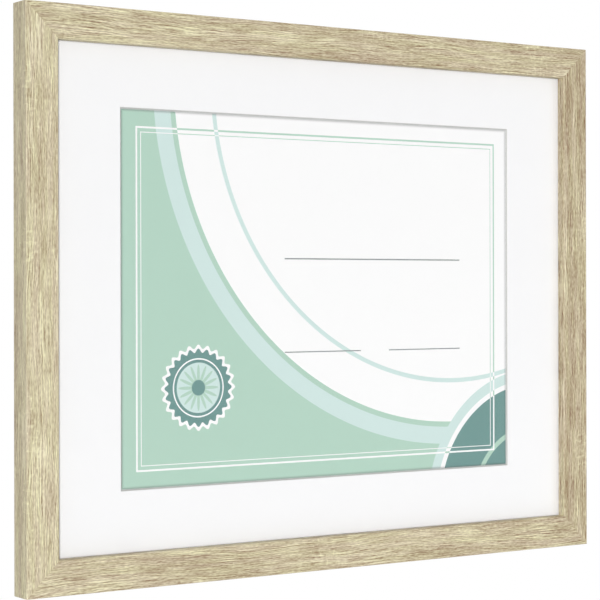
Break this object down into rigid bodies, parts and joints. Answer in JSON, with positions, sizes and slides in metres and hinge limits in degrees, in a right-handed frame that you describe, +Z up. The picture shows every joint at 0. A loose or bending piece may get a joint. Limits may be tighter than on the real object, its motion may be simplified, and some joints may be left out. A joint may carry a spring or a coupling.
{
  "type": "certificate frame",
  "caption": "Mitred light oak grain frame with a white window mat, clear glazing, a backing board held by turn buttons, and toothed hangers for hanging either way.",
  "frame": {"origin": "the middle notch of the hanger on the top rail, on the plane of the wall, where the wall nail sits", "axes": "+X to the right of a viewer in front of the frame, +Y into the wall so that the front faces -Y, +Z up with the frame in landscape"},
  "size_m": [0.38, 0.0183, 0.3037],
  "materials": {
    "oak_foil_moulding": "matte",
    "clear_glazing": "gloss",
    "white_mat_board": "matte",
    "printed_insert": "satin",
    "corrugated_card": "matte",
    "hardboard": "matte",
    "bright_steel": "satin",
    "zinc_plated_steel": "satin"
  },
  "bodies": {
    "frame": {"rail_top": "oak_foil_moulding", "rail_right": "oak_foil_moulding", "rail_bottom": "oak_foil_moulding", "rail_left": "oak_foil_moulding", "glazing_sheet": "clear_glazing", "mat_board": "white_mat_board", "insert_sheet": "printed_insert", "filler_board": "corrugated_card", "backing_board": "hardboard", "corner_v_nails": "bright_steel", "turn_button_screws": "zinc_plated_steel", "sawtooth_hanger_landscape": "zinc_plated_steel", "sawtooth_hanger_portrait": "zinc_plated_steel", "hanger_nails": "bright_steel"},
    "button_top_left": {"turn_button_top_left": "zinc_plated_steel"},
    "button_top_right": {"turn_button_top_right": "zinc_plated_steel"},
    "button_right_upper": {"turn_button_right_upper": "zinc_plated_steel"},
    "button_right_lower": {"turn_button_right_lower": "zinc_plated_steel"},
    "button_bottom_right": {"turn_button_bottom_right": "zinc_plated_steel"},
    "button_bottom_left": {"turn_button_bottom_left": "zinc_plated_steel"},
    "button_left_lower": {"turn_button_left_lower": "zinc_plated_steel"},
    "button_left_upper": {"turn_button_left_upper": "zinc_plated_steel"}
  },
  "joints": [
    {"name": "swivel_top_left", "type": "hinge", "parent": "frame", "child": "button_top_left", "pos_m": [-0.11195, -0.0024, 0.0028], "axis": [0, 1, 0], "continuous": true},
    {"name": "swivel_top_right", "type": "hinge", "parent": "frame", "child": "button_top_right", "pos_m": [0.11195, -0.0024, 0.0028], "axis": [0, 1, 0], "continuous": true},
    {"name": "swivel_right_upper", "type": "hinge", "parent": "frame", "child": "button_right_upper", "pos_m": [0.18395, -0.0024, -0.0692], "axis": [0, 1, 0], "continuous": true},
    {"name": "swivel_right_lower", "type": "hinge", "parent": "frame", "child": "button_right_lower", "pos_m": [0.18395, -0.0024, -0.2169], "axis": [0, 1, 0], "continuous": true},
    {"name": "swivel_bottom_right", "type": "hinge", "parent": "frame", "child": "button_bottom_right", "pos_m": [0.11195, -0.0024, -0.2889], "axis": [0, 1, 0], "continuous": true},
    {"name": "swivel_bottom_left", "type": "hinge", "parent": "frame", "child": "button_bottom_left", "pos_m": [-0.11195, -0.0024, -0.2889], "axis": [0, 1, 0], "continuous": true},
    {"name": "swivel_left_lower", "type": "hinge", "parent": "frame", "child": "button_left_lower", "pos_m": [-0.18395, -0.0024, -0.2169], "axis": [0, 1, 0], "continuous": true},
    {"name": "swivel_left_upper", "type": "hinge", "parent": "frame", "child": "button_left_upper", "pos_m": [-0.18395, -0.0024, -0.0692], "axis": [0, 1, 0], "continuous": true}
  ]
}
